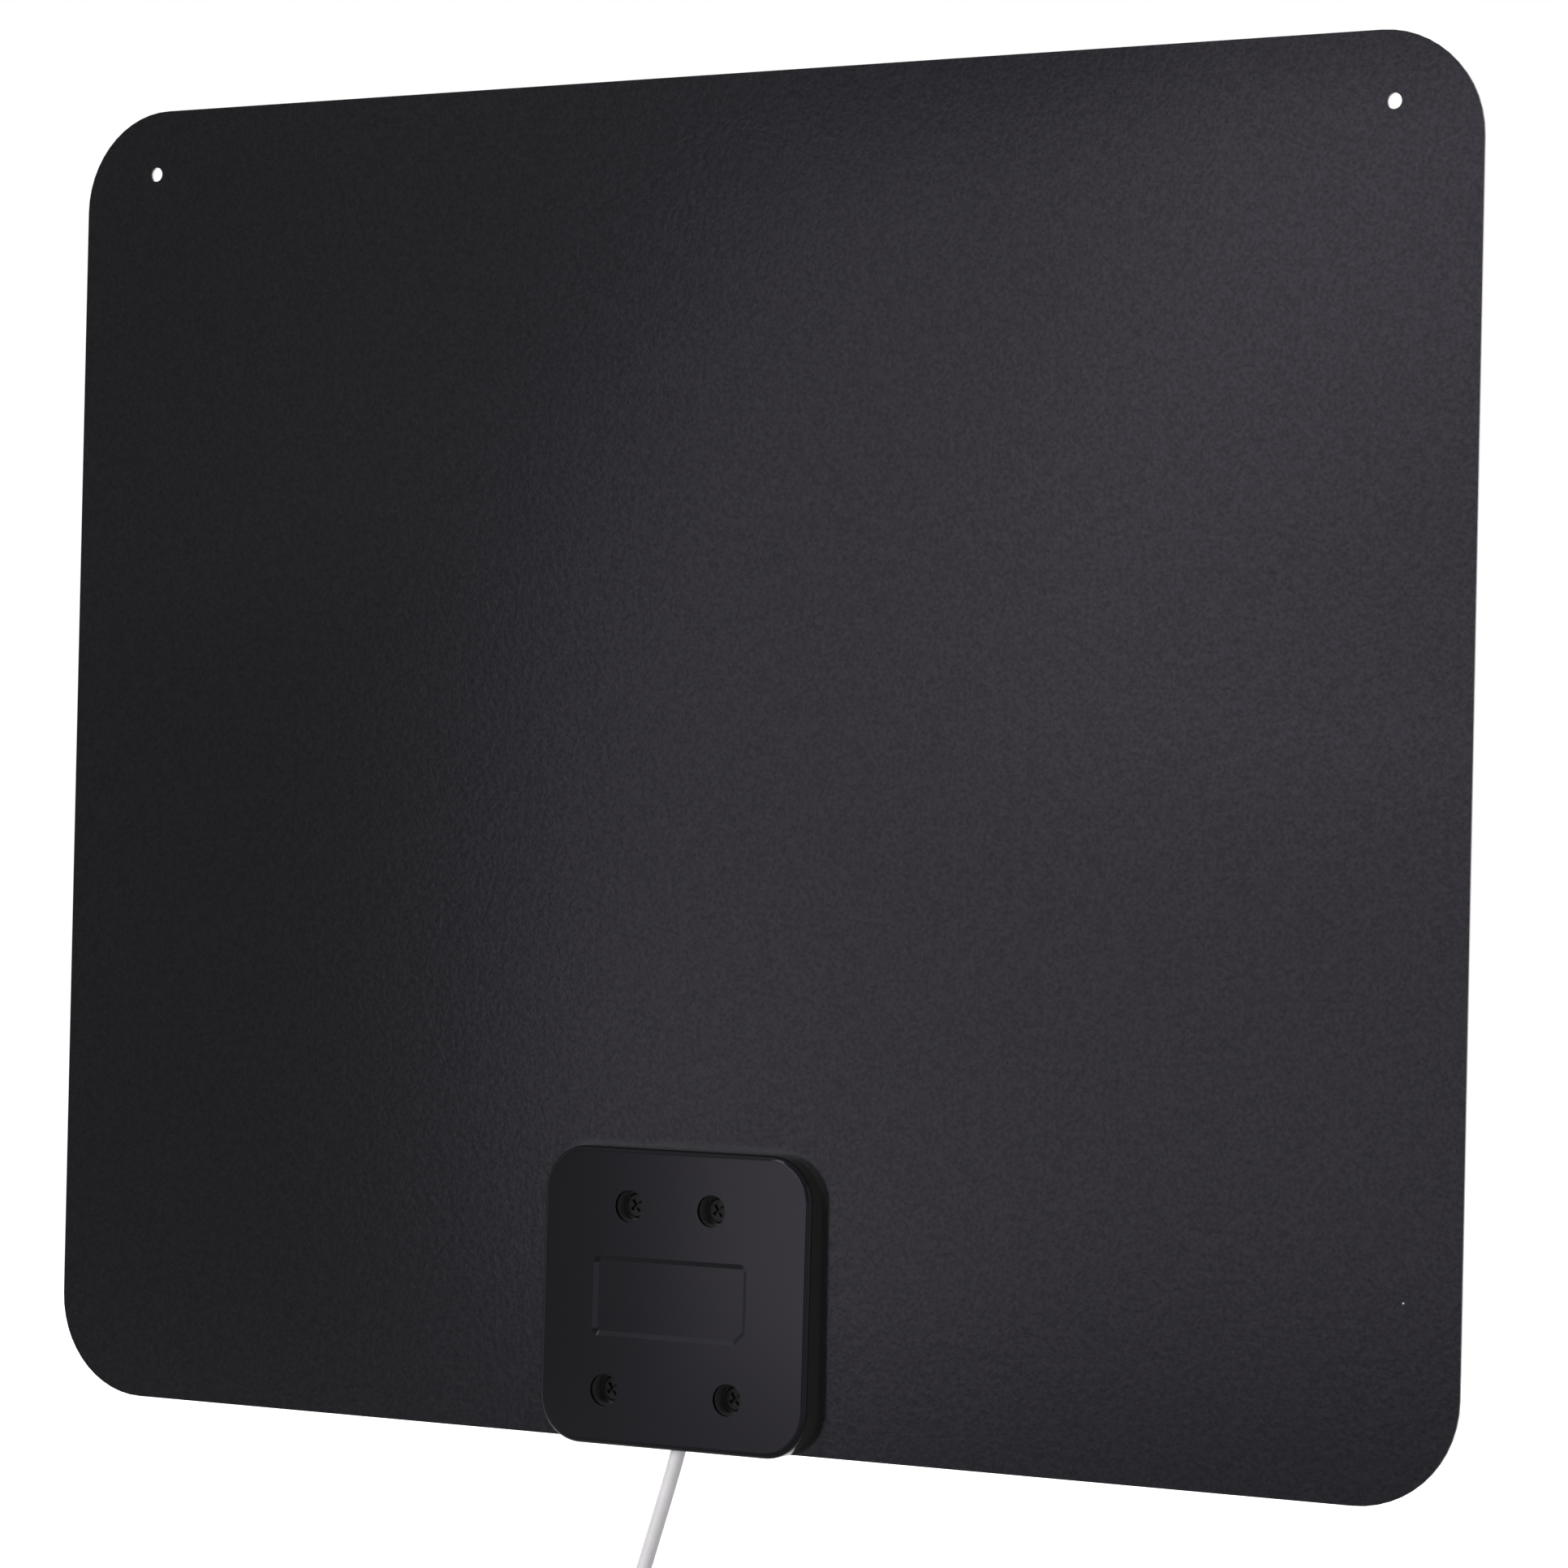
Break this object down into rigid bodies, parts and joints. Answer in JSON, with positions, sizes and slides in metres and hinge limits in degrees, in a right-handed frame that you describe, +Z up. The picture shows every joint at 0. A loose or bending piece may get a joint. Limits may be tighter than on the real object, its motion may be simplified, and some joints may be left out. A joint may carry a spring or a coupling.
{
  "type": "flat indoor tv antenna",
  "caption": "Thin laminated indoor tv antenna sheet, black on one side, with corner hanging holes, a screwed feed box at its lower edge and a thin coaxial lead.",
  "frame": {"origin": "midway between the two hanging holes, in the plane where the two films of the sheet meet", "axes": "+X across the sheet, to the right as seen from the black side; -Y out of the black side; +Z up"},
  "size_m": [0.34, 0.0177, 0.4202],
  "materials": {
    "black_film": "fine matt grain, black",
    "white_film": "fine matt grain, white",
    "foil": "plain rolled foil",
    "black_cover": "satin moulded black",
    "white_cover": "satin moulded white",
    "black_screw": "black oxide steel",
    "board": "green solder mask",
    "ferrite": "sintered ferrite",
    "enamelled_wire": "enamelled copper",
    "capacitor": "fired ceramic chip",
    "contact": "bare brass",
    "crimp": "bare crimped ring",
    "cable_jacket": "pale grey flexible jacket",
    "insulation": "natural polyethylene",
    "conductor": "bare copper",
    "shield": "tinned braid",
    "tie": "plastic coated tie",
    "plated_metal": "nickel plate"
  },
  "bodies": {
    "antenna": {"black_film": "black_film", "white_film": "white_film", "left_element": "foil", "right_element": "foil", "screw_cover": "black_cover", "plain_cover": "white_cover", "cover_screws": "black_screw", "circuit_board": "board", "balun_core": "ferrite", "primary_winding": "enamelled_wire", "secondary_winding": "enamelled_wire", "chip_capacitors": "capacitor", "contact_rivets": "contact", "cable_stop": "crimp", "cable_core": "insulation", "centre_conductor": "conductor", "shield_pigtail": "shield", "coax_lead": "cable_jacket", "coax_coil": "cable_jacket", "coax_tail": "cable_jacket", "coil_tie": "tie", "connector_sleeve": "cable_jacket", "connector_body": "plated_metal", "connector_insulator": "insulation", "connector_pin": "conductor"},
    "nut": {"coupling_nut": "plated_metal"}
  },
  "joints": [
    {"name": "nut_spin", "type": "hinge", "parent": "antenna", "child": "nut", "pos_m": [-0.0152, 0.0014, -0.3993], "axis": [0, 0, 1], "continuous": true}
  ]
}
